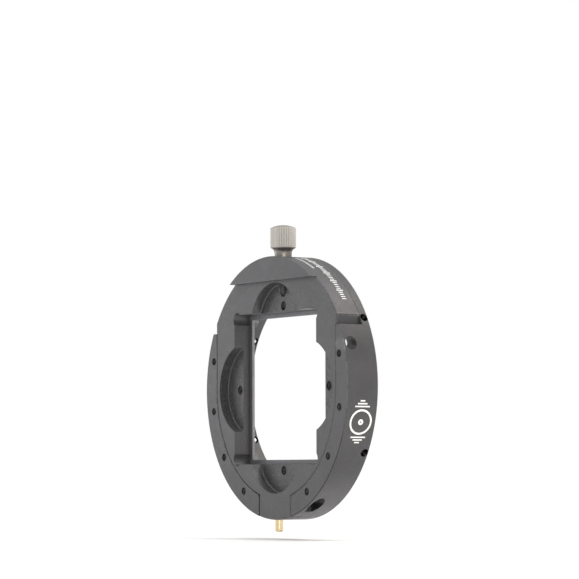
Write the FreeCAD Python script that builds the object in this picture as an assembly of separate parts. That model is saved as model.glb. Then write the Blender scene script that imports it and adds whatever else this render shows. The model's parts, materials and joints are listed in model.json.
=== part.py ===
import FreeCAD, Part
import math
import os

# Filter slider chamber: a ring body that a removable filter slider drops into from above.
#
# Millimetres. X is to the right, Z is up towards the pull screw, and Y runs along the optical
# axis from front to rear. The origin is the centre of the rear bore, in the rear face.

Vector = FreeCAD.Vector

# ---- driving dimensions -------------------------------------------------------------------
OUTER_RADIUS = 43.5
BODY_DEPTH = 11.8
CAP_PROUD = 2.0
FLANGE_DEPTH = 2.9
REAR_BORE_RADIUS = 33.3
EDGE_BREAK = 0.15
FINE_BREAK = 0.1
ARM_EDGE_BREAK = 0.25
SLIDER_EDGE_BREAK = 0.35
DRILL_BLUNTNESS = 0.15
DRILL_SLOPE = 0.5

CHANNEL_HALF_WIDTH = 36.7
ARM_TOP = 19.4
TONGUE_SLOT_HALF_WIDTH = 9.9
TONGUE_SLOT_CORNER = 1.6

SLIDER_SIDE_GAP = 0.1
SHOULDER_HALF_WIDTH = 37.0
SHOULDER_GAP = 0.05
SLIDER_BACK_GAP = 0.05
PLATE_RECESS = 0.1
CAP_CHORD_HEIGHT = 35.45
TONGUE_HALF_WIDTH = 9.5

FILTER_POCKET_HALF = 25.2
POCKET_DEPTH = 6.2
LEDGE_WIDTH = 1.5
LEDGE_THICKNESS = 0.9
REAR_RECESS_RADIUS = 32.9
RELIEF_RADIUS = 2.4
RELIEF_INSET = 1.7

RECESS_RADIUS = 15.2
RECESS_CENTRE = 19.7
RECESS_DEPTH = 3.55
RECESS_FLOOR_FILLET = 0.4
RETAINER_HOLE_CENTRE = 27.3
RETAINER_HOLE_RADIUS = 1.5
RETAINER_MOUTH_RADIUS = 1.6

FRONT_HOLE_RADIUS = 1.25
FRONT_HOLE_MOUTH_RADIUS = 1.35
FRONT_HOLE_DEPTH = 6.0
FRONT_HOLES = [(39.8, 14.5), (39.25, -10.4), (39.25, -35.4), (39.25, -60.4)]

CLAMP_SCREWS = {
    "upper_right": 30.0,
    "top": 90.0,
    "upper_left": 150.0,
    "lower_left": 210.0,
    "bottom": 270.0,
    "lower_right": 330.0,
}
CLAMP_HOLE_RADIUS = 1.4
CLAMP_HOLE_FROM_REAR = 1.45
CLAMP_SCREW_LENGTH = 6.0
CLAMP_TIP_SETBACK = 0.15
CLAMP_TIP_RADIUS = 0.7
CLAMP_HEX_FLATS = 1.3
CLAMP_HEX_DEPTH = 1.6
THREAD_CLEARANCE = 0.05

WINDOW_RADIUS = 2.1
WINDOW_HEIGHT = 13.3
WINDOW_FROM_FRONT = 2.7
MAGNET_RADIUS = 2.0
MAGNET_THICKNESS = 2.0
GLUE_GAP = 0.03

PLUNGER_HEIGHT = -38.7
PLUNGER_FROM_FRONT = 3.3
PLUNGER_HOLE_RADIUS = 2.0
PLUNGER_COUNTERBORE_RADIUS = 2.4
PLUNGER_COUNTERBORE_START = 15.3
SLEEVE_FRONT = 9.7
SLEEVE_LENGTH = 5.5
SLEEVE_BORE_RADIUS = 1.3
SLEEVE_BORE_LENGTH = 3.9
SLEEVE_LIP_RADIUS = 1.19
SLEEVE_LIP_LENGTH = 0.1
SLEEVE_SLOT_WIDTH = 0.6
SLEEVE_SLOT_DEPTH = 0.5
BALL_RADIUS = 1.25
BALL_CENTRE = 10.2
NOTCH_CLEARANCE = 0.15
SPRING_WIRE_RADIUS = 0.14
SPRING_COIL_RADIUS = 0.95
SPRING_TURNS = 4

PULL_SCREW_FROM_FRONT = 3.66
SCREW_THREAD_RADIUS = 1.5
SCREW_HOLE_BOTTOM = 30.9
SCREW_STUD_BOTTOM = 35.6
SPOT_FACE_RADIUS = 3.1
SPOT_FACE_HEIGHT = 43.3
NECK_RADIUS = 2.85
NECK_WAIST_HEIGHT = 44.6
FLARE_RADIUS = 3.6
HEAD_RADIUS = 4.25
HEAD_BOTTOM = 46.2
HEAD_TOP = 53.1
DOME_HEIGHT = 1.0
HEAD_CHAMFER = 0.35
HEAD_FOOT_WIDTH = 0.5
HEAD_FOOT_HEIGHT = 0.45
KNURL_COUNT = 44
KNURL_DEPTH = 0.22

PIN_FROM_FRONT = 1.86
PIN_RADIUS = 1.35
PIN_HOLE_RADIUS = 1.37
PIN_TOP = -37.4
PIN_BOTTOM = -47.4
PIN_END_ROUND = 0.45

# ---- planes worked out from the driving dimensions ------------------------------------------
FRONT = -BODY_DEPTH
CAP_FRONT = FRONT - CAP_PROUD
PLATE_FRONT = FRONT + PLATE_RECESS
FLANGE_FRONT = -FLANGE_DEPTH
SLIDER_BACK = FLANGE_FRONT - SLIDER_BACK_GAP
SLIDER_HALF_WIDTH = CHANNEL_HALF_WIDTH - SLIDER_SIDE_GAP
LEDGE_FRONT = PLATE_FRONT + POCKET_DEPTH
LEDGE_BACK = LEDGE_FRONT + LEDGE_THICKNESS
RECESS_FLOOR = PLATE_FRONT + RECESS_DEPTH
APERTURE_HALF = FILTER_POCKET_HALF - LEDGE_WIDTH
WINDOW_Y = FRONT + WINDOW_FROM_FRONT
PLUNGER_Y = FRONT + PLUNGER_FROM_FRONT
PULL_SCREW_Y = FRONT + PULL_SCREW_FROM_FRONT
PIN_Y = FRONT + PIN_FROM_FRONT
CLAMP_Y = -CLAMP_HOLE_FROM_REAR
BEYOND = 60.0


# ---- helpers ----------------------------------------------------------------------------------
def disc(radius, y_low, y_high, x=0.0, z=0.0):
    """Cylinder along Y."""
    return Part.makeCylinder(radius, y_high - y_low, Vector(x, y_low, z), Vector(0, 1, 0))


def slab(x_low, x_high, y_low, y_high, z_low, z_high):
    size = (x_high - x_low, y_high - y_low, z_high - z_low)
    return Part.makeBox(*size, Vector(x_low, y_low, z_low))


def square_prism(half, y_low, y_high):
    return slab(-half, half, y_low, y_high, -half, half)


def revolve_about_z(points):
    """Solid of revolution of a closed outline of (radius, height) points."""
    corners = [Vector(radius, 0, height) for radius, height in points]
    outline = Part.makePolygon(corners + corners[:1])
    return Part.Face(outline).revolve(Vector(0, 0, 0), Vector(0, 0, 1), 360)


def drill_tip(radius, start, inward):
    """Cutter for the blunt conical end that a drill leaves."""
    return Part.makeCone(radius, radius * DRILL_BLUNTNESS, radius * DRILL_SLOPE, start, inward)


def countersunk_hole(radius, mouth_radius, depth, mouth, inward):
    """Cutter for a drilled hole with a countersunk mouth and a conical bottom."""
    sink = mouth_radius - radius
    bore = Part.makeCylinder(radius, depth, mouth, inward)
    cone = Part.makeCone(mouth_radius, radius, sink, mouth, inward)
    tip = drill_tip(radius, mouth + inward * depth, inward)
    return bore.fuse([cone, tip])


def edges_in_plane(shape, y, keep=lambda edge: True):
    """Edges that lie in the plane at this y and pass a test."""
    found = []
    for edge in shape.Edges:
        box = edge.BoundBox
        if abs(box.YMin - y) < 1e-5 and abs(box.YMax - y) < 1e-5 and keep(edge):
            found.append(edge)
    return found


def break_edges(shape, size, y, keep=lambda edge: True):
    """Chamfers the edges in one plane across the optical axis."""
    return shape.makeChamfer(size, edges_in_plane(shape, y, keep))


def along_x(shape, side):
    """Turns a shape built along +Z to point along +X, or along -X for the left side."""
    turned = shape.copy()
    turned.rotate(Vector(0, 0, 0), Vector(0, 1, 0), 90 * side)
    return turned


def save(name, shape):
    cleaned = shape.removeSplitter() if len(shape.Solids) == 1 else shape
    if not cleaned.isValid():
        raise ValueError(name + " is not a valid solid")
    cleaned.exportStep("parts/" + name + ".step")
    print(name, "solids", len(cleaned.Solids), "volume", round(cleaned.Volume, 2))


# ---- chamber body -------------------------------------------------------------------------------
def channel_cutter():
    """Space that the slider drops into: straight sides above the axis, half round below it."""
    y_low = FRONT - 1
    lower = disc(CHANNEL_HALF_WIDTH, y_low, FLANGE_FRONT)
    upper = slab(-CHANNEL_HALF_WIDTH, CHANNEL_HALF_WIDTH, y_low, FLANGE_FRONT, 0, BEYOND)
    return lower.fuse(upper)


def body_arms():
    """The U-shaped wall, cut open at the bottom for the tongue."""
    wall = disc(OUTER_RADIUS, FRONT, FLANGE_FRONT)
    above = slab(-BEYOND, BEYOND, FRONT - 1, FLANGE_FRONT + 1, ARM_TOP, BEYOND)
    width = TONGUE_SLOT_HALF_WIDTH
    slot = slab(-width, width, FRONT - 1, FLANGE_FRONT + 1, -BEYOND, -CHANNEL_HALF_WIDTH / 2)
    arms = wall.cut([channel_cutter(), above, slot])
    corner_height = -math.sqrt(CHANNEL_HALF_WIDTH**2 - width**2)
    corners = []
    for edge in arms.Edges:
        centre = edge.CenterOfMass
        at_corner = abs(abs(centre.x) - width) < 0.01 and abs(centre.z - corner_height) < 0.01
        if at_corner and edge.BoundBox.YLength > 1:
            corners.append(edge)
    arms = arms.makeFillet(TONGUE_SLOT_CORNER, corners)
    return break_edges(arms, ARM_EDGE_BREAK, FRONT)


def rear_flange():
    """Bored rear ring, with its front edge broken only where it stands clear of the arms."""
    flange = disc(OUTER_RADIUS, FLANGE_FRONT, 0)
    flange = break_edges(flange, EDGE_BREAK, 0)
    clear_part = break_edges(flange, FINE_BREAK, FLANGE_FRONT)
    clear_part = clear_part.common(slab(-BEYOND, BEYOND, FLANGE_FRONT - 1, 1, ARM_TOP, BEYOND))
    joined_part = flange.common(slab(-BEYOND, BEYOND, FLANGE_FRONT - 1, 1, -BEYOND, ARM_TOP))
    return clear_part.fuse(joined_part).cut(disc(REAR_BORE_RADIUS, FLANGE_FRONT - 1, 1))


def front_hole_cutters():
    cutters = []
    for radius, angle in FRONT_HOLES:
        x = radius * math.cos(math.radians(angle))
        z = radius * math.sin(math.radians(angle))
        for side in (1, -1):
            mouth = Vector(side * x, FRONT, z)
            cutters.append(
                countersunk_hole(
                    FRONT_HOLE_RADIUS,
                    FRONT_HOLE_MOUTH_RADIUS,
                    FRONT_HOLE_DEPTH,
                    mouth,
                    Vector(0, 1, 0),
                )
            )
    return cutters


def radial_direction(angle):
    return Vector(math.cos(math.radians(angle)), 0, math.sin(math.radians(angle)))


def clamp_hole_cutters():
    cutters = []
    for angle in CLAMP_SCREWS.values():
        outward = radial_direction(angle)
        start = outward * (REAR_BORE_RADIUS - 2) + Vector(0, CLAMP_Y, 0)
        cutters.append(Part.makeCylinder(CLAMP_HOLE_RADIUS, 14, start, outward))
    return cutters


def side_hole_cutters():
    """Window and plunger hole through each arm, along X."""
    cutters = []
    for side in (1, -1):
        outward = Vector(side, 0, 0)
        window = Vector(side * (CHANNEL_HALF_WIDTH - 1), WINDOW_Y, WINDOW_HEIGHT)
        cutters.append(Part.makeCylinder(WINDOW_RADIUS, 12, window, outward))
        plunger = Vector(side * (TONGUE_SLOT_HALF_WIDTH - 1), PLUNGER_Y, PLUNGER_HEIGHT)
        cutters.append(Part.makeCylinder(PLUNGER_HOLE_RADIUS, 20, plunger, outward))
        counterbore = Vector(side * PLUNGER_COUNTERBORE_START, PLUNGER_Y, PLUNGER_HEIGHT)
        cutters.append(Part.makeCylinder(PLUNGER_COUNTERBORE_RADIUS, 20, counterbore, outward))
    return cutters


def chamber_body():
    body = body_arms().fuse(rear_flange())
    return body.cut(front_hole_cutters() + clamp_hole_cutters() + side_hole_cutters())


# ---- slider -------------------------------------------------------------------------------------
def slider_blank():
    """Plate with shoulders above the arms, a raised cap on its top arc and a tongue below."""
    rim = disc(OUTER_RADIUS, PLATE_FRONT, SLIDER_BACK)
    half = SLIDER_HALF_WIDTH
    upper = rim.common(slab(-half, half, PLATE_FRONT, SLIDER_BACK, 0, BEYOND))
    lower = disc(half, PLATE_FRONT, SLIDER_BACK)
    foot_top = -CHANNEL_HALF_WIDTH / 2
    width = TONGUE_HALF_WIDTH
    tongue = rim.common(slab(-width, width, PLATE_FRONT, SLIDER_BACK, -BEYOND, foot_top))
    wide = SHOULDER_HALF_WIDTH
    shoulder_foot = ARM_TOP + SHOULDER_GAP
    shoulders = rim.common(slab(-wide, wide, PLATE_FRONT, SLIDER_BACK, shoulder_foot, BEYOND))
    plate = upper.fuse([lower, tongue, shoulders]).removeSplitter()
    plate = break_edges(
        plate, SLIDER_EDGE_BREAK, PLATE_FRONT, lambda edge: edge.CenterOfMass.z < 30
    )
    plate = break_edges(plate, FINE_BREAK, SLIDER_BACK)
    cap = disc(OUTER_RADIUS, CAP_FRONT, LEDGE_FRONT)
    cap = cap.common(slab(-BEYOND, BEYOND, CAP_FRONT, LEDGE_FRONT, CAP_CHORD_HEIGHT, BEYOND))
    cap = break_edges(cap, EDGE_BREAK, CAP_FRONT)
    return plate.fuse(cap).removeSplitter()


def recess_cutter(x, z):
    """Round finger recess with a small fillet round its floor."""
    cutter = disc(RECESS_RADIUS, PLATE_FRONT - 1, RECESS_FLOOR, x, z)
    return cutter.makeFillet(RECESS_FLOOR_FILLET, edges_in_plane(cutter, RECESS_FLOOR))


def pocket_cutters():
    cutters = [square_prism(FILTER_POCKET_HALF, PLATE_FRONT - 1, LEDGE_FRONT)]
    inset = FILTER_POCKET_HALF - RELIEF_INSET
    for x_side in (1, -1):
        for z_side in (1, -1):
            cutters.append(
                disc(RELIEF_RADIUS, PLATE_FRONT - 1, LEDGE_FRONT, x_side * inset, z_side * inset)
            )
    for x_way, z_way in ((1, 0), (-1, 0), (0, 1), (0, -1)):
        cutters.append(recess_cutter(x_way * RECESS_CENTRE, z_way * RECESS_CENTRE))
    return cutters


def aperture_cutters():
    """Square clear aperture and the round recess behind its thin ledge."""
    aperture = square_prism(APERTURE_HALF, PLATE_FRONT, SLIDER_BACK + 1)
    return [aperture, disc(REAR_RECESS_RADIUS, LEDGE_BACK, SLIDER_BACK + 1)]


def retainer_hole_cutters():
    cutters = []
    sink = RETAINER_MOUTH_RADIUS - RETAINER_HOLE_RADIUS
    for x_way, z_way in ((1, 0), (-1, 0), (0, 1), (0, -1)):
        x = x_way * RETAINER_HOLE_CENTRE
        z = z_way * RETAINER_HOLE_CENTRE
        cutters.append(disc(RETAINER_HOLE_RADIUS, RECESS_FLOOR - 1, SLIDER_BACK + 1, x, z))
        cutters.append(
            Part.makeCone(
                RETAINER_MOUTH_RADIUS,
                RETAINER_HOLE_RADIUS,
                sink,
                Vector(x, RECESS_FLOOR, z),
                Vector(0, 1, 0),
            )
        )
    return cutters


def pull_screw_cutters():
    """Spot face on the rim and the tapped hole, whose end breaks into the top recess."""
    down = Vector(0, 0, -1)
    top = Vector(0, PULL_SCREW_Y, BEYOND)
    spot = Part.makeCylinder(SPOT_FACE_RADIUS, BEYOND - SPOT_FACE_HEIGHT, top, down)
    bore = Part.makeCylinder(SCREW_THREAD_RADIUS, BEYOND - SCREW_HOLE_BOTTOM, top, down)
    bottom = Vector(0, PULL_SCREW_Y, SCREW_HOLE_BOTTOM)
    return [spot, bore, drill_tip(SCREW_THREAD_RADIUS, bottom, down)]


def slider_side_cutters():
    """Magnet seats, and the notches for the plunger balls with their run-outs."""
    cutters = []
    for side in (1, -1):
        seat_x = side * (SLIDER_HALF_WIDTH - MAGNET_THICKNESS)
        seat = Vector(seat_x, WINDOW_Y, WINDOW_HEIGHT)
        cutters.append(Part.makeCylinder(MAGNET_RADIUS, 5, seat, Vector(side, 0, 0)))
        notch_radius = BALL_RADIUS + NOTCH_CLEARANCE
        ball = Vector(side * BALL_CENTRE, PLUNGER_Y, PLUNGER_HEIGHT)
        cutters.append(Part.makeSphere(notch_radius, ball))
        cutters.append(Part.makeCylinder(notch_radius, 10, ball, Vector(0, 0, -1)))
    return cutters


def slider_frame():
    frame = slider_blank().cut(pocket_cutters())
    frame = frame.cut(aperture_cutters())
    frame = frame.cut(retainer_hole_cutters() + pull_screw_cutters() + slider_side_cutters())
    pin_hole = Part.makeCylinder(
        PIN_HOLE_RADIUS, 12, Vector(0, PIN_Y, PIN_TOP), Vector(0, 0, -1)
    )
    return frame.cut(pin_hole)


# ---- small parts ------------------------------------------------------------------------------
def knurl_prism(z_low, z_high):
    """Prism with straight V grooves all round."""
    points = []
    step = 2 * math.pi / KNURL_COUNT
    for tooth in range(KNURL_COUNT):
        for share, radius in (
            (0.0, HEAD_RADIUS - KNURL_DEPTH),
            (0.4, HEAD_RADIUS),
            (0.6, HEAD_RADIUS),
        ):
            angle = (tooth + share) * step
            points.append(Vector(radius * math.cos(angle), radius * math.sin(angle), z_low))
    outline = Part.makePolygon(points + points[:1])
    return Part.Face(outline).extrude(Vector(0, 0, z_high - z_low))


def neck_and_stud():
    """Stud, shoulder and a neck that flares in a concave curve up to the head."""
    stud = SCREW_THREAD_RADIUS - THREAD_CLEARANCE
    waist = Vector(NECK_RADIUS, 0, NECK_WAIST_HEIGHT)
    flare_top = Vector(FLARE_RADIUS, 0, HEAD_BOTTOM)
    quarter_way = NECK_RADIUS + (FLARE_RADIUS - NECK_RADIUS) / 4
    middle = Vector(quarter_way, 0, (NECK_WAIST_HEIGHT + HEAD_BOTTOM) / 2)
    profile = [
        Vector(FLARE_RADIUS, 0, HEAD_BOTTOM + 1),
        Vector(0, 0, HEAD_BOTTOM + 1),
        Vector(0, 0, SCREW_STUD_BOTTOM),
        Vector(stud - 0.4, 0, SCREW_STUD_BOTTOM),
        Vector(stud, 0, SCREW_STUD_BOTTOM + 0.4),
        Vector(stud, 0, SPOT_FACE_HEIGHT),
        Vector(NECK_RADIUS, 0, SPOT_FACE_HEIGHT),
        waist,
    ]
    edges = [Part.Arc(waist, middle, flare_top).toShape()]
    edges.append(Part.LineSegment(flare_top, profile[0]).toShape())
    for start, end in zip(profile, profile[1:]):
        edges.append(Part.LineSegment(start, end).toShape())
    outline = Part.Wire(Part.__sortEdges__(edges))
    return Part.Face(outline).revolve(Vector(0, 0, 0), Vector(0, 0, 1), 360)


def thumb_screw():
    head = knurl_prism(HEAD_BOTTOM, HEAD_TOP + DOME_HEIGHT)
    dome_radius = (HEAD_RADIUS**2 + DOME_HEIGHT**2) / (2 * DOME_HEIGHT)
    dome = Part.makeSphere(dome_radius, Vector(0, 0, HEAD_TOP + DOME_HEIGHT - dome_radius))
    chamfer = revolve_about_z(
        [
            (0, HEAD_BOTTOM),
            (HEAD_RADIUS - HEAD_FOOT_WIDTH, HEAD_BOTTOM),
            (HEAD_RADIUS, HEAD_BOTTOM + HEAD_FOOT_HEIGHT),
            (HEAD_RADIUS, HEAD_TOP - HEAD_CHAMFER),
            (HEAD_RADIUS - HEAD_CHAMFER, HEAD_TOP + DOME_HEIGHT),
            (0, HEAD_TOP + DOME_HEIGHT),
        ]
    )
    head = head.common(dome).common(chamfer)
    screw = head.fuse(neck_and_stud())
    screw.translate(Vector(0, PULL_SCREW_Y, 0))
    return screw


def push_pin():
    pin = Part.makeCylinder(PIN_RADIUS, PIN_TOP - PIN_BOTTOM, Vector(0, PIN_Y, PIN_BOTTOM))
    ends = [edge for edge in pin.Edges if edge.BoundBox.ZLength < 0.01]
    lowest = [edge for edge in ends if edge.BoundBox.ZMin < PIN_BOTTOM + 0.01]
    return pin.makeFillet(PIN_END_ROUND, lowest)


def side_magnet(side):
    thickness = MAGNET_THICKNESS - GLUE_GAP
    start = Vector(side * (SLIDER_HALF_WIDTH - GLUE_GAP), WINDOW_Y, WINDOW_HEIGHT)
    inward = Vector(-side, 0, 0)
    magnet = Part.makeCylinder(MAGNET_RADIUS - GLUE_GAP, thickness - GLUE_GAP, start, inward)
    faces = [edge for edge in magnet.Edges if edge.BoundBox.XLength < 0.01]
    return magnet.makeChamfer(0.1, faces)


def clamp_screw(angle):
    """Hex socket set screw with a short conical tip, lying along a radius of the flange."""
    radius = CLAMP_HOLE_RADIUS - THREAD_CLEARANCE
    taper = radius - CLAMP_TIP_RADIUS
    length = CLAMP_SCREW_LENGTH
    screw = revolve_about_z(
        [
            (0, 0),
            (CLAMP_TIP_RADIUS, 0),
            (radius, taper),
            (radius, length - 0.2),
            (radius - 0.2, length),
            (0, length),
        ]
    )
    corner = CLAMP_HEX_FLATS / math.sqrt(3)
    hexagon = []
    for turn in range(6):
        bearing = math.radians(60 * turn)
        x = corner * math.cos(bearing)
        y = corner * math.sin(bearing)
        hexagon.append(Vector(x, y, length - CLAMP_HEX_DEPTH))
    outline = Part.makePolygon(hexagon + hexagon[:1])
    screw = screw.cut(Part.Face(outline).extrude(Vector(0, 0, CLAMP_HEX_DEPTH + 1)))
    screw.rotate(Vector(0, 0, 0), Vector(0, 1, 0), 90 - angle)
    tip = radial_direction(angle) * (REAR_BORE_RADIUS + CLAMP_TIP_SETBACK)
    screw.translate(tip + Vector(0, CLAMP_Y, 0))
    return screw


def plunger_sleeve(side):
    """Threaded sleeve, open at its lip for the ball and slotted at its outer end."""
    radius = PLUNGER_HOLE_RADIUS - THREAD_CLEARANCE
    sleeve = Part.makeCylinder(radius, SLEEVE_LENGTH)
    ends = [edge for edge in sleeve.Edges if edge.BoundBox.ZLength < 0.01]
    sleeve = sleeve.makeChamfer(0.15, ends)
    lip = Part.makeCylinder(SLEEVE_LIP_RADIUS, 1)
    bore = Part.makeCylinder(SLEEVE_BORE_RADIUS, SLEEVE_BORE_LENGTH, Vector(0, 0, SLEEVE_LIP_LENGTH))
    half = SLEEVE_SLOT_WIDTH / 2
    slot_start = SLEEVE_LENGTH - SLEEVE_SLOT_DEPTH
    slot = slab(-3, 3, -half, half, slot_start, SLEEVE_LENGTH + 1)
    sleeve = along_x(sleeve.cut([lip, bore, slot]), side)
    sleeve.translate(Vector(side * SLEEVE_FRONT, PLUNGER_Y, PLUNGER_HEIGHT))
    return sleeve


def plunger_ball(side):
    return Part.makeSphere(BALL_RADIUS, Vector(side * BALL_CENTRE, PLUNGER_Y, PLUNGER_HEIGHT))


def plunger_spring(side):
    """Coil spring between the ball and the closed end of the sleeve."""
    start = BALL_CENTRE + BALL_RADIUS + SPRING_WIRE_RADIUS
    end = SLEEVE_FRONT + SLEEVE_LIP_LENGTH + SLEEVE_BORE_LENGTH - SPRING_WIRE_RADIUS
    height = end - start
    helix = Part.makeHelix(height / SPRING_TURNS, height, SPRING_COIL_RADIUS)
    section = Part.Wire(
        [Part.makeCircle(SPRING_WIRE_RADIUS, Vector(SPRING_COIL_RADIUS, 0, 0), Vector(0, 1, 0))]
    )
    spring = Part.Wire(helix.Edges).makePipeShell([section], True, True)
    spring = along_x(spring, 1)
    if side < 0:
        spring.rotate(Vector(0, 0, 0), Vector(0, 0, 1), 180)
    spring.translate(Vector(side * start, PLUNGER_Y, PLUNGER_HEIGHT))
    return spring


# ---- write every part -----------------------------------------------------------------------------
os.makedirs("parts", exist_ok=True)
save("chamber_body", chamber_body())
save("slider_frame", slider_frame())
save("thumb_screw", thumb_screw())
save("push_pin", push_pin())
for place, angle in CLAMP_SCREWS.items():
    save(place + "_clamp_screw", clamp_screw(angle))
for hand, side in (("right", 1), ("left", -1)):
    save(hand + "_side_magnet", side_magnet(side))
    save(hand + "_plunger_sleeve", plunger_sleeve(side))
    save(hand + "_plunger_ball", plunger_ball(side))
    save(hand + "_plunger_spring", plunger_spring(side))
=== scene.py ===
import json
import math

import bmesh
import bpy
from mathutils import Euler, Matrix, Vector


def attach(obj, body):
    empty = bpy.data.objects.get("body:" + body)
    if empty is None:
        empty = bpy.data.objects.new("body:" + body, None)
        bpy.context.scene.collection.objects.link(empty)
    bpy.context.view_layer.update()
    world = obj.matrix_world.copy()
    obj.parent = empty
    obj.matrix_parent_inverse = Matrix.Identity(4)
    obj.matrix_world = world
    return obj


# Looks for the filter slider chamber. Metres, in the row frame: the optical axis is Y, the front
# is towards -Y, Z is up towards the pull screw, and the origin is the middle of the rear face.

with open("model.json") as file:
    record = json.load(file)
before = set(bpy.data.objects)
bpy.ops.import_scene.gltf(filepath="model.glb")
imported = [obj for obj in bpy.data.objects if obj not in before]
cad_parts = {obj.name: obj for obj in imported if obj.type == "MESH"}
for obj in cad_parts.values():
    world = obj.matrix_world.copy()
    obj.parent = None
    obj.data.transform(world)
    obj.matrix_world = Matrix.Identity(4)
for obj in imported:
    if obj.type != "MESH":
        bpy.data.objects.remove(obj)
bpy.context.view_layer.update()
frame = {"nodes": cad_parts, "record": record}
NODES = frame["nodes"]
SLOTS = {part["node"]: part["material_slot"] for part in frame["record"]["subparts"]}
MM = 0.001

# ---- sizes that repeat the CAD, in millimetres and degrees --------------------------------------
RIM_RADIUS = 43.5
BORE_RADIUS = 33.3
FRONT = -11.8
PLATE_FRONT = -11.7
SLIDER_BACK = -2.95
SHOULDER_X = 36.95
POCKET_HALF = 25.2
APERTURE_HALF = 23.7
LEDGE_FRONT = -5.5
RECESS_CENTRE = 19.7
RECESS_RADIUS = 15.2
RECESS_FLOOR = -8.15
RETAINER_CENTRE = 27.3
RETAINER_RADIUS = 1.5
RETAINER_THREAD_LENGTH = 3.1
FRONT_HOLES = [(39.8, 14.5), (39.25, -10.4), (39.25, -35.4), (39.25, -60.4)]
FRONT_HOLE_RADIUS = 1.25
FRONT_HOLE_DEPTH = 6.0
FRONT_THREAD_LENGTH = 5.0
CLAMP_Y = -1.45
CLAMP_RADIUS = 1.4
CLAMP_SLANT = 30.0
WINDOW_Y = -9.1
WINDOW_Z = 13.3
WINDOW_RADIUS = 2.1
PLUNGER_Y = -8.5
PLUNGER_Z = -38.7
PLUNGER_HOLE_RADIUS = 2.4
PULL_HOLE_Y = -8.14
PULL_HOLE_RADIUS = 1.5
PULL_STUD_BOTTOM = 35.6
PULL_THREAD_LENGTH = 3.9
HEAD_BOTTOM = 46.2
PIN_Y = -9.94

# ---- how the masks of the materials reach past those sizes, in millimetres ----------------------
RIM_SKIN = 0.12
HOLE_MARGIN = 0.05
FACE_MARGIN = 0.02
MOUTH_DEPTH = 0.2

# ---- colours shared by materials ----------------------------------------------------------------
# Pale grey of worn edges and dust, also used for painted highlights on edges and painted glints on
# threads.
PALE_WEAR_AND_GLINT = (0.26, 0.25, 0.24)
SHADOW_LINE = (0.006, 0.006, 0.007)


# ---- node helpers -------------------------------------------------------------------------------
class Shader:
    """Small builder for a node material."""

    def __init__(self, name, **settings):
        self.material = bpy.data.materials.new(name)
        self.material.use_nodes = True
        self.tree = self.material.node_tree
        self.bsdf = self.tree.nodes["Principled BSDF"]
        for socket, value in settings.items():
            self.bsdf.inputs[socket.replace("_", " ")].default_value = value
        coordinates = self.tree.nodes.new("ShaderNodeTexCoord")
        self.position = coordinates.outputs["Object"]
        self.normal = coordinates.outputs["Normal"]
        self.separated = {}

    def link(self, source, target):
        self.tree.links.new(source, target)

    def set(self, socket, source):
        self.link(source, self.bsdf.inputs[socket])

    def feed(self, socket, value):
        if isinstance(value, (int, float, tuple)):
            socket.default_value = value
        else:
            self.link(value, socket)

    def math(self, operation, first, second=0.0, third=0.0, clamp=False):
        node = self.tree.nodes.new("ShaderNodeMath")
        node.operation = operation
        node.use_clamp = clamp
        for socket, value in zip(node.inputs, (first, second, third)):
            self.feed(socket, value)
        return node.outputs[0]

    def axis(self, vector, letter):
        key = (id(vector), letter)
        if key not in self.separated:
            node = self.tree.nodes.new("ShaderNodeSeparateXYZ")
            self.link(vector, node.inputs[0])
            for name in "XYZ":
                self.separated[(id(vector), name)] = node.outputs[name]
        return self.separated[key]

    def combine(self, x, y, z):
        node = self.tree.nodes.new("ShaderNodeCombineXYZ")
        for socket, value in zip(node.inputs, (x, y, z)):
            self.feed(socket, value)
        return node.outputs[0]

    def noise(self, vector, scale, detail=3.0, roughness=0.6, distortion=0.0):
        node = self.tree.nodes.new("ShaderNodeTexNoise")
        self.link(vector, node.inputs["Vector"])
        node.inputs["Scale"].default_value = scale
        node.inputs["Detail"].default_value = detail
        node.inputs["Roughness"].default_value = roughness
        node.inputs["Distortion"].default_value = distortion
        return node.outputs["Fac"]

    def remap(self, value, low, high, new_low, new_high, smooth=False):
        node = self.tree.nodes.new("ShaderNodeMapRange")
        node.interpolation_type = "SMOOTHSTEP" if smooth else "LINEAR"
        for socket, number in zip(node.inputs, (value, low, high, new_low, new_high)):
            self.feed(socket, number)
        return node.outputs[0]

    def mix(self, share, first, second):
        node = self.tree.nodes.new("ShaderNodeMix")
        node.data_type = "RGBA"
        self.feed(node.inputs["Factor"], share)
        for name, value in (("A", first), ("B", second)):
            socket = next(s for s in node.inputs if s.name == name and s.type == "RGBA")
            self.feed(socket, (*value, 1.0) if isinstance(value, tuple) else value)
        return next(s for s in node.outputs if s.type == "RGBA")

    def mix_value(self, share, first, second):
        node = self.tree.nodes.new("ShaderNodeMix")
        self.feed(node.inputs["Factor"], share)
        self.feed(node.inputs["A"], first)
        self.feed(node.inputs["B"], second)
        return node.outputs["Result"]

    def bump(self, height, strength, distance, below=None):
        node = self.tree.nodes.new("ShaderNodeBump")
        node.inputs["Strength"].default_value = strength
        node.inputs["Distance"].default_value = distance
        self.link(height, node.inputs["Height"])
        if below is not None:
            self.link(below, node.inputs["Normal"])
        return node.outputs[0]

    def distance_from_axis(self, across, along):
        """Distance from the line where both given coordinates are zero."""
        squares = self.math("ADD", self.math("MULTIPLY", across, across),
                            self.math("MULTIPLY", along, along))
        return self.math("SQRT", squares)

    def above(self, value, limit):
        """Mask that is 1 where value is over a limit in millimetres."""
        return self.math("GREATER_THAN", value, limit * MM)

    def below(self, value, limit):
        """Mask that is 1 where value is under a limit in millimetres."""
        return self.math("LESS_THAN", value, limit * MM)

    def both(self, *masks):
        """Mask that is 1 where every given mask is."""
        product = masks[0]
        for mask in masks[1:]:
            product = self.math("MULTIPLY", product, mask)
        return product

    def away(self, value, place):
        """Signed distance of a coordinate from a place in millimetres."""
        return self.math("SUBTRACT", value, place * MM)

    def scaled(self, shade, mask, factor):
        """Shade multiplied by a factor where the mask is 1."""
        return self.math("MULTIPLY", shade, self.remap(mask, 0.0, 1.0, 1.0, factor))


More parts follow.
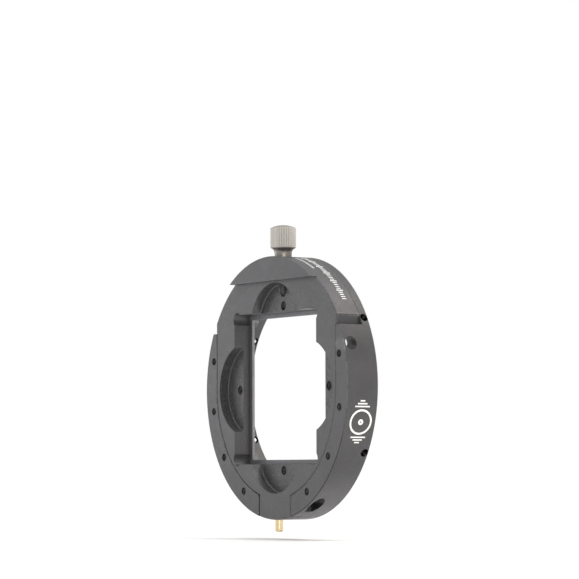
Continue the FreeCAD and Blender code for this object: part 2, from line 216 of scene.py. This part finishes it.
class PartShader(Shader):
    """Shader for the two large parts, with the coordinates that their masks use."""

    def __init__(self, name, **settings):
        super().__init__(name, **settings)
        self.x, self.y, self.z = (self.axis(self.position, letter) for letter in "XYZ")
        self.wide = self.math("ABSOLUTE", self.x)
        self.high = self.math("ABSOLUTE", self.z)
        self.furthest = self.math("MAXIMUM", self.wide, self.high)
        self.nearest = self.math("MINIMUM", self.wide, self.high)
        self.radius = self.distance_from_axis(self.x, self.z)
        self.under_rim = self.below(self.radius, RIM_RADIUS - RIM_SKIN)
        self.on_rim = self.above(self.radius, RIM_RADIUS - RIM_SKIN)

    def from_side_hole(self, y, z):
        """Distance from the axis of a hole along X."""
        return self.distance_from_axis(self.away(self.y, y), self.away(self.z, z))

    def from_quarter_hole(self, centre):
        """Distance from the nearest of four axes along Y, on the X and Z axes."""
        return self.distance_from_axis(self.away(self.furthest, centre), self.nearest)


# ---- materials ----------------------------------------------------------------------------------
def front_hole_places():
    """Distance across and height of the front holes on one side, in millimetres."""
    places = []
    for distance, degrees in FRONT_HOLES:
        angle = math.radians(degrees)
        places.append((distance * math.cos(angle), distance * math.sin(angle)))
    return places


def recess_mask(s):
    """Floors and walls of the four finger recesses."""
    inside = s.below(s.from_quarter_hole(RECESS_CENTRE), RECESS_RADIUS + 0.1)
    return s.both(inside, s.above(s.y, PLATE_FRONT + 0.15), s.below(s.y, RECESS_FLOOR + 0.1))


def paint_slider_light_and_shade(s, shade):
    """Slider: painted light on the filter ledge and aperture walls, painted shade in the retaining
    screw holes.
    """
    # Painted light on the filter ledge, more on its ends above and below the aperture, most on the
    # aperture's side walls.
    painted_light_ledge = s.both(s.below(s.furthest, POCKET_HALF - 0.1), s.above(s.y, LEDGE_FRONT - 0.05))
    shade = s.scaled(shade, painted_light_ledge, 1.6)
    painted_light_ledge_ends = s.both(painted_light_ledge, s.above(s.high, APERTURE_HALF + FACE_MARGIN))
    shade = s.scaled(shade, painted_light_ledge_ends, 1.5)
    # Painted shade in the retaining screw holes.
    painted_shade_retainer = s.both(
        s.below(s.from_quarter_hole(RETAINER_CENTRE), RETAINER_RADIUS + HOLE_MARGIN),
        s.above(s.y, RECESS_FLOOR + MOUTH_DEPTH),
    )
    shade = s.scaled(shade, painted_shade_retainer, 0.15)
    painted_light_aperture_wall = s.both(painted_light_ledge, s.below(s.wide, APERTURE_HALF + FACE_MARGIN),
                       s.above(s.wide, APERTURE_HALF - FACE_MARGIN))
    return s.scaled(shade, painted_light_aperture_wall, 2.6)


def painted_shade_hole_mask(s):
    """Mask of the walls of the chamber's plunger, front and clamp holes, for painted shade."""
    from_plunger = s.from_side_hole(PLUNGER_Y, PLUNGER_Z)
    black = s.both(s.under_rim, s.below(from_plunger, PLUNGER_HOLE_RADIUS + 0.2))
    sunk = s.both(s.above(s.y, FRONT + MOUTH_DEPTH), s.below(s.y, FRONT + FRONT_HOLE_DEPTH + 1.0))
    for hole_x, hole_z in front_hole_places():
        from_hole = s.distance_from_axis(s.away(s.wide, hole_x), s.away(s.z, hole_z))
        inside = s.below(from_hole, FRONT_HOLE_RADIUS + HOLE_MARGIN)
        black = s.math("MAXIMUM", black, s.both(sunk, inside))
    slant = math.radians(CLAMP_SLANT)
    slanted = s.math("SUBTRACT", s.math("MULTIPLY", s.wide, math.sin(slant)),
                     s.math("MULTIPLY", s.high, math.cos(slant)))
    for across in (slanted, s.x):
        from_clamp = s.distance_from_axis(across, s.away(s.y, CLAMP_Y))
        inside = s.below(from_clamp, CLAMP_RADIUS + HOLE_MARGIN)
        black = s.math("MAXIMUM", black, s.both(s.under_rim, inside))
    return black


def paint_body_light_and_shade(s, shade):
    """Chamber: lighter window wall with a painted shade line at its far edge, painted shade in the
    holes, painted light and shade on the rim, paler towards the foot.
    """
    # The window wall is made lighter, with a painted shade line inside its far edge.
    from_window = s.from_side_hole(WINDOW_Y, WINDOW_Z)
    lighter_window_wall = s.both(s.under_rim, s.below(from_window, WINDOW_RADIUS + 0.1))
    shade = s.scaled(shade, lighter_window_wall, 2.4)
    window_edge_painted_shade = s.both(s.above(from_window, WINDOW_RADIUS - 0.05),
                     s.below(from_window, WINDOW_RADIUS + 0.22), s.above(s.y, WINDOW_Y + 0.4))
    shade = s.scaled(shade, window_edge_painted_shade, 0.35)
    # Painted shade in the plunger, front and clamp holes.
    shade = s.scaled(shade, painted_shade_hole_mask(s), 0.10)
    # Painted light and shade on the rim: darker higher up, paler towards the foot.
    rim_painted_light_and_shade = s.remap(s.z, -26.0 * MM, -41.0 * MM, 0.78, 1.65, smooth=True)
    return s.math("MULTIPLY", shade, s.mix_value(s.on_rim, 1.0, rim_painted_light_and_shade))


def chamfer_mask(s):
    """Faces that slant between the optical axis and the rim, which are the edge breaks."""
    slope = s.math("ABSOLUTE", s.axis(s.normal, "Y"))
    rising = s.remap(slope, 0.40, 0.62, 0.0, 1.0, smooth=True)
    falling = s.remap(slope, 0.82, 0.97, 1.0, 0.0, smooth=True)
    return s.both(rising, falling)


def anodised(name, grey, slider, glints=False):
    """Satin black anodised aluminium: turned lines, blasted grain, dust, pale worn edges with
    painted highlights, painted glints on threads, and painted light and shade.
    """
    s = PartShader(name, Specular_IOR_Level=0.5)
    tool_lines = s.noise(s.combine(s.radius, s.y, 0.0), 2600.0, 2.0)
    broad = s.noise(s.position, 55.0, 4.0)
    cloud = s.noise(s.position, 260.0, 5.0, 0.65)
    grain = s.noise(s.position, 2600.0, 3.0, 0.8)
    shade = s.remap(broad, 0.35, 0.65, 0.92, 1.08)
    shade = s.math("MULTIPLY", shade, s.remap(grain, 0.30, 0.70, 0.66, 1.34))
    shade = s.math("MULTIPLY", shade, s.remap(cloud, 0.52, 0.80, 1.0, 1.22))
    # Bright specks are dust; with glints they are painted glints on the thread ridges instead.
    if glints:
        dust_and_glint = s.remap(s.noise(s.position, 2600.0, 2.0, 0.9), 0.56, 0.64, 0.0, 0.9)
    else:
        dust_and_glint = s.remap(s.noise(s.position, 1500.0, 2.0, 0.9), 0.70, 0.76, 0.0, 0.35)
    if slider:
        recess = recess_mask(s)
        mottled = s.remap(s.noise(s.position, 1300.0, 4.0, 0.8), 0.35, 0.65, 0.45, 1.25)
        shade = s.mix_value(recess, shade, mottled)
        dusty = s.remap(s.noise(s.position, 2400.0, 2.0, 0.9), 0.60, 0.70, 0.0, 0.6)
        dust_and_glint = s.math("MAXIMUM", dust_and_glint, s.both(recess, dusty))
    shade = paint_slider_light_and_shade(s, shade) if slider else paint_body_light_and_shade(s, shade)
    tinted = s.combine(s.math("MULTIPLY", shade, grey),
                       s.math("MULTIPLY", shade, grey * 0.985),
                       s.math("MULTIPLY", shade, grey * 1.04))
    colour = s.mix(dust_and_glint, tinted, PALE_WEAR_AND_GLINT)

    # Chamfers get pale wear with painted highlights; on the slider the shoulder edge and a painted
    # highlight line along the rear rim edge join them.
    edge = chamfer_mask(s)
    most_wear_and_highlight = 0.22 if slider else 0.45
    wear_and_highlight = s.remap(s.noise(s.position, 420.0, 4.0, 0.7), 0.40, 0.68, 0.03, most_wear_and_highlight)
    if slider:
        shoulder = s.both(s.above(s.wide, SHOULDER_X - 0.12), s.above(s.radius, RIM_RADIUS - 0.4))
        edge = s.math("MAXIMUM", edge, shoulder)
        rear = s.both(s.above(s.y, SLIDER_BACK - 0.45), s.above(s.radius, RIM_RADIUS - 0.5))
        wear_and_highlight = s.math("ADD", wear_and_highlight, s.math("MULTIPLY", rear, 0.55))
    colour = s.mix(s.math("MULTIPLY", edge, wear_and_highlight), colour, PALE_WEAR_AND_GLINT)
    # Painted shadow line on the chamber's front chamfer near the rim, darker towards the bottom.
    if not slider:
        by_front = s.below(s.y, FRONT + 0.4)
        by_rim = s.above(s.radius, RIM_RADIUS - 0.6)
        lower = s.remap(s.z, -4.0 * MM, -20.0 * MM, 0.0, 0.85, smooth=True)
        colour = s.mix(s.both(edge, by_front, by_rim, lower), colour, SHADOW_LINE)
    s.set("Base Color", colour)

    rough = s.remap(cloud, 0.3, 0.7, 0.36, 0.50)
    s.set("Roughness", s.math("SUBTRACT", rough, s.math("MULTIPLY", edge, 0.10), clamp=True))
    lines = s.bump(tool_lines, 0.16, 0.00004)
    s.set("Normal", s.bump(grain, 0.60, 0.00005, lines))
    return s.material


def turned_metal(name, colour, centre, along, roughness, lines=3000.0, dark_grooves=None, metallic=1.0,
                 satin=None):
    """Bare metal turned about an axis. along is the axis letter and centre its two coordinates.

    dark_grooves is (inner radius, outer radius, colour) for a darker colour between those radii,
    and satin is (height, roughness, metallic) for the part of it above a height along the axis.
    """
    s = Shader(name, Metallic=metallic)
    letters = [letter for letter in "XYZ" if letter != along]
    first = s.away(s.axis(s.position, letters[0]), centre[0])
    second = s.away(s.axis(s.position, letters[1]), centre[1])
    radius = s.distance_from_axis(first, second)
    length = s.axis(s.position, along)
    turned = s.noise(s.combine(radius, length, 0.0), lines, 2.0, 0.7)
    stretched = s.combine(first, second, s.math("MULTIPLY", length, 0.04))
    streaks = s.noise(stretched, 1500.0, 3.0, 0.7)
    cloud = s.noise(s.position, 500.0, 3.0, 0.6)
    fine = s.noise(s.position, 4200.0, 2.0, 0.6)
    tint = s.mix(s.remap(turned, 0.35, 0.65, 0.0, 1.0), tuple(c * 0.88 for c in colour), colour)
    worn = tuple(channel * part for channel, part in zip(colour, (0.74, 0.72, 0.68)))
    tint = s.mix(s.remap(streaks, 0.46, 0.70, 0.0, 0.45), tint, worn)
    # Darker colour in the grooves between the given radii.
    if dark_grooves is not None:
        inner, outer, groove_colour = dark_grooves
        depth = s.remap(radius, inner * MM, outer * MM, 0.75, 0.0)
        tint = s.mix(depth, tint, groove_colour)
    s.set("Base Color", tint)
    rough = s.remap(cloud, 0.3, 0.7, roughness * 0.9, roughness * 1.15)
    if satin is not None:
        height, satin_roughness, satin_metallic = satin
        above = s.above(length, height)
        satin_rough = s.remap(cloud, 0.3, 0.7, satin_roughness * 0.94, satin_roughness * 1.06)
        rough = s.mix_value(above, rough, satin_rough)
        s.set("Metallic", s.mix_value(above, metallic, satin_metallic))
    s.set("Roughness", rough)
    rings = s.bump(turned, 0.04 if satin else 0.10, 0.00002)
    s.set("Normal", s.bump(fine, 0.06, 0.00001, rings))
    return s.material


def set_screw_steel(name):
    """Black oxide set screw with a bright ground tip at its inner end."""
    s = Shader(name, Metallic=1.0)
    radius = s.distance_from_axis(s.axis(s.position, "X"), s.axis(s.position, "Z"))
    tip = s.remap(radius, (BORE_RADIUS + 0.35) * MM, (BORE_RADIUS + 0.6) * MM, 1.0, 0.0)
    blotch = s.noise(s.position, 1600.0, 4.0, 0.7)
    share = s.remap(blotch, 0.4, 0.65, 0.0, 1.0)
    oxide = s.mix(share, (0.012, 0.012, 0.012), (0.035, 0.033, 0.032))
    bright = s.mix(share, (0.62, 0.61, 0.58), (0.78, 0.77, 0.74))
    s.set("Base Color", s.mix(tip, oxide, bright))
    s.set("Roughness", s.remap(blotch, 0.3, 0.7, 0.24, 0.50))
    threads = s.math("SINE", s.math("MULTIPLY", radius, 2 * math.pi / (0.45 * MM)))
    s.set("Normal", s.bump(threads, 0.5, 0.00006))
    return s.material


def printed_white(name):
    """Thin opaque print, slightly worn and grainy."""
    s = Shader(name, Specular_IOR_Level=0.35)
    cloud = s.noise(s.position, 900.0, 4.0, 0.7)
    thin = s.remap(cloud, 0.45, 0.75, 0.0, 0.8)
    s.set("Base Color", s.mix(thin, (0.86, 0.86, 0.84), (0.62, 0.61, 0.60)))
    s.set("Roughness", s.remap(cloud, 0.3, 0.7, 0.45, 0.65))
    s.set("Normal", s.bump(s.noise(s.position, 3800.0, 3.0), 0.15, 0.00002))
    return s.material


PULL_SCREW_AXIS = (0.0, PULL_HOLE_Y)
PIN_AXIS = (0.0, PIN_Y)
WINDOW_AXIS = (WINDOW_Y, WINDOW_Z)
PLUNGER_AXIS = (PLUNGER_Y, PLUNGER_Z)

MATERIALS = {
    "body_black": anodised("anodised_body", grey=0.055, slider=False),
    "slider_black": anodised("anodised_slider", grey=0.055, slider=True),
    "stainless": turned_metal("stainless_turned", (0.64, 0.615, 0.575), PULL_SCREW_AXIS, "Z",
                              roughness=0.38, dark_grooves=(3.95, 4.2, (0.17, 0.15, 0.13)),
                              satin=(HEAD_BOTTOM, 0.62, 0.55)),
    "brass": turned_metal("brass_polished", (0.86, 0.69, 0.42), PIN_AXIS, "Z", roughness=0.24),
    "nickel": turned_metal("nickel_plate", (0.96, 0.955, 0.94), WINDOW_AXIS, "X",
                           roughness=0.50, lines=900.0, metallic=0.15),
    "plunger_steel": turned_metal("plunger_sleeve_steel", (0.10, 0.10, 0.10), PLUNGER_AXIS, "X",
                                  roughness=0.30),
    "ball_steel": turned_metal("ball_steel_polished", (0.72, 0.71, 0.70), PLUNGER_AXIS, "X",
                               roughness=0.10, lines=600.0),
    "spring_steel": turned_metal("spring_wire_steel", (0.50, 0.49, 0.47), PLUNGER_AXIS, "X",
                                 roughness=0.28),
    "set_screw_steel": set_screw_steel("set_screw_black_oxide"),
    "white_print": printed_white("print_white"),
}
# Thread ridges: black anodised, in a darker grey as painted shade in the holes, with painted
# glints.
THREAD_PAINTED_SHADE_AND_GLINT = anodised("anodised_thread_painted_shade_and_glint", grey=0.008, slider=True, glints=True)


def dress(piece, material):
    piece.data.materials.clear()
    piece.data.materials.append(material)


for node_name, node in NODES.items():
    dress(node, MATERIALS[SLOTS[node_name]])


# ---- mesh helpers -------------------------------------------------------------------------------
def add_piece(name, mesh, material, body):
    mesh.normal_update()
    bmesh.ops.recalc_face_normals(mesh, faces=mesh.faces)
    data = bpy.data.meshes.new(name)
    mesh.to_mesh(data)
    mesh.free()
    piece = bpy.data.objects.new(name, data)
    bpy.context.scene.collection.objects.link(piece)
    dress(piece, material)
    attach(piece, body)
    return piece


def add_thread(mesh, start, inward, radius, length, pitch, depth=0.17):
    """Adds one closed helical ridge on the wall of a hole.

    start is a point on the hole's axis and inward the direction from there, and the sizes are in
    millimetres. depth is how far the ridge stands out of the wall, fading out over the end turns.
    """
    inward = Vector(inward).normalized()
    side = inward.orthogonal().normalized()
    other = inward.cross(side)
    steps_a_turn = 28
    root = 0.03
    half_width = 0.40 * pitch
    count = int(length / pitch * steps_a_turn)
    previous = None
    first = None
    for step in range(count + 1):
        turn = 2 * math.pi * step / steps_a_turn
        fade = min(1.0, step / steps_a_turn, (count - step) / steps_a_turn)
        outward = side * math.cos(turn) + other * math.sin(turn)
        along = inward * (length * step / count)
        ring = []
        crest = -depth * max(fade, 0.05)
        for lift, offset in ((root, -half_width), (crest, 0.0), (root, half_width)):
            point = Vector(start) + along + outward * (radius + lift) + inward * offset
            ring.append(mesh.verts.new(point * MM))
        if previous is None:
            first = ring
        else:
            for a, b in ((0, 1), (1, 2), (2, 0)):
                mesh.faces.new((previous[a], previous[b], ring[b], ring[a]))
        previous = ring
    mesh.faces.new(first)
    mesh.faces.new(previous[::-1])


def on_rim(arc, y, radius):
    """Point on the rim: arc is in degrees above +X."""
    angle = math.radians(arc)
    return Vector((radius * math.cos(angle), y, radius * math.sin(angle))) * MM


def add_rim_strip(mesh, path, proud=0.02, sunk=0.06):
    """Adds a closed strip that lies on the rim. path is a list of ((arc, y), (arc, y)) edges."""
    rows = []
    for left, right in path:
        rows.append(
            [
                mesh.verts.new(on_rim(*left, RIM_RADIUS + proud)),
                mesh.verts.new(on_rim(*right, RIM_RADIUS + proud)),
                mesh.verts.new(on_rim(*right, RIM_RADIUS - sunk)),
                mesh.verts.new(on_rim(*left, RIM_RADIUS - sunk)),
            ]
        )
    closed = path[0] == path[-1]
    if closed:
        for vertex in rows.pop():
            mesh.verts.remove(vertex)
        rows.append(rows[0])
    for before, after in zip(rows, rows[1:]):
        for a in range(4):
            b = (a + 1) % 4
            mesh.faces.new((before[a], before[b], after[b], after[a]))
    if not closed:
        mesh.faces.new(rows[0])
        mesh.faces.new(rows[-1][::-1])


def add_tick(mesh, arc, y_middle, length, width):
    """Adds a short line along Y, width millimetres wide, at one angle of the rim."""
    half = math.degrees(width / 2 / RIM_RADIUS)
    low = y_middle - length / 2
    high = y_middle + length / 2
    add_rim_strip(mesh, [((arc - half, low), (arc + half, low)),
                         ((arc - half, high), (arc + half, high))])


def rim_circle(arc, y, radius, steps):
    """Points of a circle laid on the rim."""
    points = []
    for step in range(steps + 1):
        turn = 2 * math.pi * (step % steps) / steps
        points.append(
            (arc + math.degrees(radius * math.cos(turn) / RIM_RADIUS), y + radius * math.sin(turn))
        )
    return points


# ---- threads in the tapped holes ----------------------------------------------------------------
# How far into its hole each thread starts, or past the pull screw's stud, and its pitch, in
# millimetres.
FRONT_THREAD_START, FRONT_THREAD_PITCH = 0.42, 0.45
RETAINER_THREAD_START, RETAINER_THREAD_PITCH = 0.45, 0.5
PULL_THREAD_START, PULL_THREAD_PITCH = 0.3, 0.5
PULL_THREAD_DEPTH = 0.2

threads = bmesh.new()
for hole_x, hole_z in front_hole_places():
    for side in (1, -1):
        start = (side * hole_x, FRONT + FRONT_THREAD_START, hole_z)
        add_thread(threads, start, (0, 1, 0), FRONT_HOLE_RADIUS, FRONT_THREAD_LENGTH,
                   FRONT_THREAD_PITCH)
add_piece("front_hole_threads", threads, THREAD_PAINTED_SHADE_AND_GLINT, "chamber")

threads = bmesh.new()
for x_way, z_way in ((1, 0), (-1, 0), (0, 1), (0, -1)):
    start = (x_way * RETAINER_CENTRE, RECESS_FLOOR + RETAINER_THREAD_START,
             z_way * RETAINER_CENTRE)
    add_thread(threads, start, (0, 1, 0), RETAINER_RADIUS, RETAINER_THREAD_LENGTH,
               RETAINER_THREAD_PITCH)
add_piece("retainer_hole_threads", threads, THREAD_PAINTED_SHADE_AND_GLINT, "slider")

threads = bmesh.new()
start = (0.0, PULL_HOLE_Y, PULL_STUD_BOTTOM - PULL_THREAD_START)
add_thread(threads, start, (0, 0, -1), PULL_HOLE_RADIUS, PULL_THREAD_LENGTH,
           PULL_THREAD_PITCH, PULL_THREAD_DEPTH)
add_piece("pull_hole_threads", threads, THREAD_PAINTED_SHADE_AND_GLINT, "slider")

# ---- printed marks: plain graduations and a plain ring, in place of the lettering ---------------
# Angles are in degrees above +X, the rest in millimetres.
SCALE_PITCH = 1.28
SCALE_START, SCALE_COUNT, SCALE_Y = 77.0, 30, -6.2
SCALE_GROUP = 5
FINE_SCALE_START, FINE_SCALE_COUNT, FINE_SCALE_Y = 76.5, 12, -9.4
RING_ARC, RING_Y = -16.0, -5.7
RING_OUTER, RING_INNER = 4.2, 3.55
DOT_OUTER, DOT_INNER = 0.95, 0.25
RING_TICK_LENGTHS = (5.6, 3.6, 1.8)
RING_TICK_START, RING_TICK_PITCH, RING_TICK_WIDTH = 6.7, 1.2, 0.45


def add_ring(mesh, outer, inner, steps):
    """Adds a closed ring round the ring mark's centre."""
    outer_circle = rim_circle(RING_ARC, RING_Y, outer, steps)
    inner_circle = rim_circle(RING_ARC, RING_Y, inner, steps)
    add_rim_strip(mesh, list(zip(outer_circle, inner_circle)))


marks = bmesh.new()
for number in range(SCALE_COUNT):
    length, width = (2.5, 0.42) if number % SCALE_GROUP == 0 else (1.6, 0.34)
    add_tick(marks, SCALE_START - number * SCALE_PITCH, SCALE_Y, length, width)
for number in range(FINE_SCALE_COUNT):
    add_tick(marks, FINE_SCALE_START - number * SCALE_PITCH, FINE_SCALE_Y, 1.1, 0.32)
add_piece("slider_graduations", marks, MATERIALS["white_print"], "slider")

marks = bmesh.new()
add_ring(marks, RING_OUTER, RING_INNER, 72)
add_ring(marks, DOT_OUTER, DOT_INNER, 32)
for step, length in enumerate(RING_TICK_LENGTHS):
    for way in (1, -1):
        arc = RING_ARC + way * (RING_TICK_START + RING_TICK_PITCH * step)
        add_tick(marks, arc, RING_Y, length, RING_TICK_WIDTH)
add_piece("chamber_axis_mark", marks, MATERIALS["white_print"], "chamber")


# ---- floor, light and camera --------------------------------------------------------------------
# Places and sizes are in metres, angles in degrees.
FLOOR_HEIGHT = -0.0500
FLOOR_RADIUS = 12.0
CAMERA_PLACE = (0.775299, -0.502783, -0.028134)
CAMERA_TILT = 93.782963
CAMERA_ROLL = 0.147938
CAMERA_HEADING = 57.343447
LENS_MM = 172.667
SEEN_WHITE = 1.0
WORLD_LIGHT = 0.62
OVERHEAD_STRENGTH = 1.85
OVERHEAD_SPREAD = 70.0
MAGNET_SPOT = (0.0366, -0.0095, 0.0133)


def pale_floor():
    mesh = bmesh.new()
    bmesh.ops.create_circle(mesh, cap_ends=True, segments=96, radius=FLOOR_RADIUS)
    data = bpy.data.meshes.new("floor")
    mesh.to_mesh(data)
    mesh.free()
    floor = bpy.data.objects.new("floor", data)
    floor.location = (0.0, 0.0, FLOOR_HEIGHT)
    bpy.context.scene.collection.objects.link(floor)
    s = Shader("floor_pale", Roughness=0.7, Specular_IOR_Level=0.2)
    cloud = s.noise(s.position, 3.0, 3.0)
    s.set("Base Color", s.mix(cloud, (0.86, 0.86, 0.86), (0.90, 0.90, 0.90)))
    dress(floor, s.material)


def aim_light(name, data, place, target):
    light = bpy.data.objects.new(name, data)
    light.location = place
    light.rotation_mode = "QUATERNION"
    light.rotation_quaternion = (Vector(target) - Vector(place)).to_track_quat("-Z", "Y")
    bpy.context.scene.collection.objects.link(light)


def area_light(name, place, size, power, colour=(1.0, 1.0, 1.0), target=(0.0, 0.0, 0.0)):
    data = bpy.data.lights.new(name, "AREA")
    data.shape = "RECTANGLE"
    data.size, data.size_y = size
    data.energy = power
    data.color = colour
    aim_light(name, data, place, target)


def spot_light(name, place, target, power):
    """Narrow pencil of light, one degree wide."""
    data = bpy.data.lights.new(name, "SPOT")
    data.energy = power
    data.spot_size = math.radians(1.0)
    data.spot_blend = 0.3
    data.shadow_soft_size = 0.0
    aim_light(name, data, place, target)


def photo_camera():
    data = bpy.data.cameras.new("camera")
    data.sensor_width = 36.0
    data.lens = LENS_MM
    data.clip_start = 0.05
    data.clip_end = 60.0
    camera = bpy.data.objects.new("camera", data)
    angles = (CAMERA_TILT, CAMERA_ROLL, CAMERA_HEADING)
    turn = Euler([math.radians(angle) for angle in angles])
    camera.matrix_world = Matrix.Translation(CAMERA_PLACE) @ turn.to_matrix().to_4x4()
    bpy.context.scene.collection.objects.link(camera)
    bpy.context.scene.camera = camera


def overhead_sun(strength, spread):
    data = bpy.data.lights.new("overhead", "SUN")
    data.energy = strength
    data.angle = math.radians(spread)
    light = bpy.data.objects.new("overhead", data)
    bpy.context.scene.collection.objects.link(light)


def white_world(seen, lighting):
    """White surroundings: one strength as the camera sees them, another as they light things."""
    world = bpy.data.worlds.new("studio")
    world.use_nodes = True
    tree = world.node_tree
    background = tree.nodes["Background"]
    background.inputs["Color"].default_value = (1.0, 1.0, 1.0, 1.0)
    path = tree.nodes.new("ShaderNodeLightPath")
    strength = tree.nodes.new("ShaderNodeMix")
    tree.links.new(path.outputs["Is Camera Ray"], strength.inputs["Factor"])
    strength.inputs["A"].default_value = lighting
    strength.inputs["B"].default_value = seen
    tree.links.new(strength.outputs["Result"], background.inputs["Strength"])
    bpy.context.scene.world = world


def studio():
    white_world(SEEN_WHITE, WORLD_LIGHT)
    overhead_sun(OVERHEAD_STRENGTH, OVERHEAD_SPREAD)
    area_light("key", (-0.165, -0.10, 0.04), size=(0.09, 0.15), power=0.050,
               colour=(1.0, 0.97, 1.0))
    area_light("front", (0.66, -0.42, 0.05), size=(0.05, 0.30), power=0.45)
    area_light("side", (0.50, -0.17, 0.06), size=(0.08, 0.08), power=0.25,
               colour=(1.0, 0.97, 0.94), target=(0.04, 0.0, 0.01))
    spot_light("window", (0.2466, -0.144, -0.003), target=MAGNET_SPOT, power=2.2)
    area_light("floor_bounce", (0.13, 0.07, 0.02), size=(0.12, 0.12), power=0.075,
               colour=(1.0, 0.92, 0.85), target=(0.13, 0.07, FLOOR_HEIGHT))
    area_light("above", (0.25, 0.45, 0.60), size=(0.45, 0.45), power=2.0,
               colour=(1.0, 0.92, 0.84))


pale_floor()
studio()
photo_camera()
bpy.context.scene.view_settings.view_transform = "Standard"
